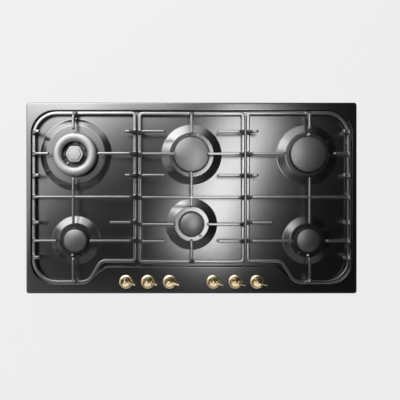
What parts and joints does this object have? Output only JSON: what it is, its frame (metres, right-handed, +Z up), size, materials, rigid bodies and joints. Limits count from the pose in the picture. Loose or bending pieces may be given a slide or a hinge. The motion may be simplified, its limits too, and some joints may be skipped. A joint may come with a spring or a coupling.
{
  "type": "gas cooktop",
  "caption": "Built-in gas cooktop: black pressed top with raised burner cones, cast-iron pan supports, lift-off burner caps and crowns, and polished brass push-and-turn knobs.",
  "frame": {"origin": "centre of the top's outline, level with the worktop's top face", "axes": "+X to the user's right, +Y to the rear, +Z up"},
  "size_m": [0.9, 0.52, 0.098],
  "materials": {
    "black_enamel": "satin black enamel",
    "cap_enamel": "matt black enamel",
    "cast_iron": "matt black enamelled casting",
    "zinc_steel": "zinc-coated sheet",
    "steel": "plain bright",
    "aluminium": "satin casting",
    "brass": "polished",
    "rubber": "matt",
    "ceramic": "glazed white",
    "plastic": "moulded"
  },
  "bodies": {
    "hob": {"hob_top": "black_enamel", "worktop_gasket": "rubber", "burner_box": "zinc_steel", "box_screws": "steel", "fixing_clamps": "zinc_steel", "clamp_screws": "steel", "burner_cups": "aluminium", "injectors": "brass", "wok_burner_base": "aluminium", "electrodes": "ceramic", "thermocouples": "steel", "ignition_module": "plastic", "ignition_leads": "rubber", "tap_bodies": "aluminium", "ignition_switches": "plastic", "knob_bezels": "brass", "gas_rail": "steel", "gas_inlet": "brass", "gas_tubes": "aluminium", "burner_brackets": "zinc_steel", "mains_gland": "plastic", "terminal_block": "plastic"},
    "support_left": {"pan_support_left": "cast_iron", "support_feet_left": "rubber"},
    "support_centre": {"pan_support_centre": "cast_iron", "support_feet_centre": "rubber"},
    "support_right": {"pan_support_right": "cast_iron", "support_feet_right": "rubber"},
    "crown_rear_centre": {"crown_rear_centre": "aluminium"},
    "cap_rear_centre": {"cap_rear_centre": "cap_enamel"},
    "crown_rear_right": {"crown_rear_right": "aluminium"},
    "cap_rear_right": {"cap_rear_right": "cap_enamel"},
    "crown_front_left": {"crown_front_left": "aluminium"},
    "cap_front_left": {"cap_front_left": "cap_enamel"},
    "crown_front_centre": {"crown_front_centre": "aluminium"},
    "cap_front_centre": {"cap_front_centre": "cap_enamel"},
    "crown_front_right": {"crown_front_right": "aluminium"},
    "cap_front_right": {"cap_front_right": "cap_enamel"},
    "wok_outer_crown": {"wok_outer_crown": "aluminium"},
    "wok_outer_cap": {"wok_outer_cap": "aluminium"},
    "wok_inner_crown": {"wok_inner_crown": "aluminium"},
    "wok_inner_cap": {"wok_inner_cap": "aluminium"},
    "plug_1": {"tap_plug_1": "brass"},
    "knob_1": {"knob_1": "brass", "knob_stem_1": "steel"},
    "plug_2": {"tap_plug_2": "brass"},
    "knob_2": {"knob_2": "brass", "knob_stem_2": "steel"},
    "plug_3": {"tap_plug_3": "brass"},
    "knob_3": {"knob_3": "brass", "knob_stem_3": "steel"},
    "plug_4": {"tap_plug_4": "brass"},
    "knob_4": {"knob_4": "brass", "knob_stem_4": "steel"},
    "plug_5": {"tap_plug_5": "brass"},
    "knob_5": {"knob_5": "brass", "knob_stem_5": "steel"},
    "plug_6": {"tap_plug_6": "brass"},
    "knob_6": {"knob_6": "brass", "knob_stem_6": "steel"}
  },
  "joints": [
    {"name": "pan_support_left_lift", "type": "slide", "parent": "hob", "child": "support_left", "axis": [0, 0, 1], "range_m": [0, 0.07]},
    {"name": "pan_support_centre_lift", "type": "slide", "parent": "hob", "child": "support_centre", "axis": [0, 0, 1], "range_m": [0, 0.07]},
    {"name": "pan_support_right_lift", "type": "slide", "parent": "hob", "child": "support_right", "axis": [0, 0, 1], "range_m": [0, 0.07]},
    {"name": "crown_rear_centre_lift", "type": "slide", "parent": "hob", "child": "crown_rear_centre", "axis": [0, 0, 1], "range_m": [0, 0.0035]},
    {"name": "cap_rear_centre_lift", "type": "slide", "parent": "crown_rear_centre", "child": "cap_rear_centre", "axis": [0, 0, 1], "range_m": [0, 0.0045]},
    {"name": "crown_rear_right_lift", "type": "slide", "parent": "hob", "child": "crown_rear_right", "axis": [0, 0, 1], "range_m": [0, 0.04]},
    {"name": "cap_rear_right_lift", "type": "slide", "parent": "crown_rear_right", "child": "cap_rear_right", "axis": [0, 0, 1], "range_m": [0, 0.03]},
    {"name": "crown_front_left_lift", "type": "slide", "parent": "hob", "child": "crown_front_left", "axis": [0, 0, 1], "range_m": [0, 0.04]},
    {"name": "cap_front_left_lift", "type": "slide", "parent": "crown_front_left", "child": "cap_front_left", "axis": [0, 0, 1], "range_m": [0, 0.03]},
    {"name": "crown_front_centre_lift", "type": "slide", "parent": "hob", "child": "crown_front_centre", "axis": [0, 0, 1], "range_m": [0, 0.04]},
    {"name": "cap_front_centre_lift", "type": "slide", "parent": "crown_front_centre", "child": "cap_front_centre", "axis": [0, 0, 1], "range_m": [0, 0.03]},
    {"name": "crown_front_right_lift", "type": "slide", "parent": "hob", "child": "crown_front_right", "axis": [0, 0, 1], "range_m": [0, 0.04]},
    {"name": "cap_front_right_lift", "type": "slide", "parent": "crown_front_right", "child": "cap_front_right", "axis": [0, 0, 1], "range_m": [0, 0.03]},
    {"name": "wok_outer_crown_lift", "type": "slide", "parent": "hob", "child": "wok_outer_crown", "axis": [0, 0, 1], "range_m": [0, 0.04]},
    {"name": "wok_outer_cap_lift", "type": "slide", "parent": "wok_outer_crown", "child": "wok_outer_cap", "axis": [0, 0, 1], "range_m": [0, 0.03]},
    {"name": "wok_inner_crown_lift", "type": "slide", "parent": "hob", "child": "wok_inner_crown", "axis": [0, 0, 1], "range_m": [0, 0.04]},
    {"name": "wok_inner_cap_lift", "type": "slide", "parent": "wok_inner_crown", "child": "wok_inner_cap", "axis": [0, 0, 1], "range_m": [0, 0.03]},
    {"name": "knob_1_turn", "type": "hinge", "parent": "hob", "child": "plug_1", "pos_m": [-0.1785, -0.228, -0.0275], "axis": [0, 0, 1], "range_deg": [0, 210]},
    {"name": "knob_1_push", "type": "slide", "parent": "plug_1", "child": "knob_1", "axis": [0, 0, -1], "range_m": [0, 0.003], "stiffness_N_per_m": 2000, "springref_m": -0.003},
    {"name": "knob_2_turn", "type": "hinge", "parent": "hob", "child": "plug_2", "pos_m": [-0.119, -0.228, -0.0275], "axis": [0, 0, 1], "range_deg": [0, 210]},
    {"name": "knob_2_push", "type": "slide", "parent": "plug_2", "child": "knob_2", "axis": [0, 0, -1], "range_m": [0, 0.003], "stiffness_N_per_m": 2000, "springref_m": -0.003},
    {"name": "knob_3_turn", "type": "hinge", "parent": "hob", "child": "plug_3", "pos_m": [-0.0595, -0.228, -0.0275], "axis": [0, 0, 1], "range_deg": [0, 210]},
    {"name": "knob_3_push", "type": "slide", "parent": "plug_3", "child": "knob_3", "axis": [0, 0, -1], "range_m": [0, 0.003], "stiffness_N_per_m": 2000, "springref_m": -0.003},
    {"name": "knob_4_turn", "type": "hinge", "parent": "hob", "child": "plug_4", "pos_m": [0.0595, -0.228, -0.0275], "axis": [0, 0, 1], "range_deg": [0, 210]},
    {"name": "knob_4_push", "type": "slide", "parent": "plug_4", "child": "knob_4", "axis": [0, 0, -1], "range_m": [0, 0.003], "stiffness_N_per_m": 2000, "springref_m": -0.003},
    {"name": "knob_5_turn", "type": "hinge", "parent": "hob", "child": "plug_5", "pos_m": [0.119, -0.228, -0.0275], "axis": [0, 0, 1], "range_deg": [0, 210]},
    {"name": "knob_5_push", "type": "slide", "parent": "plug_5", "child": "knob_5", "axis": [0, 0, -1], "range_m": [0, 0.003], "stiffness_N_per_m": 2000, "springref_m": -0.003},
    {"name": "knob_6_turn", "type": "hinge", "parent": "hob", "child": "plug_6", "pos_m": [0.1785, -0.228, -0.0275], "axis": [0, 0, 1], "range_deg": [0, 210]},
    {"name": "knob_6_push", "type": "slide", "parent": "plug_6", "child": "knob_6", "axis": [0, 0, -1], "range_m": [0, 0.003], "stiffness_N_per_m": 2000, "springref_m": -0.003}
  ]
}
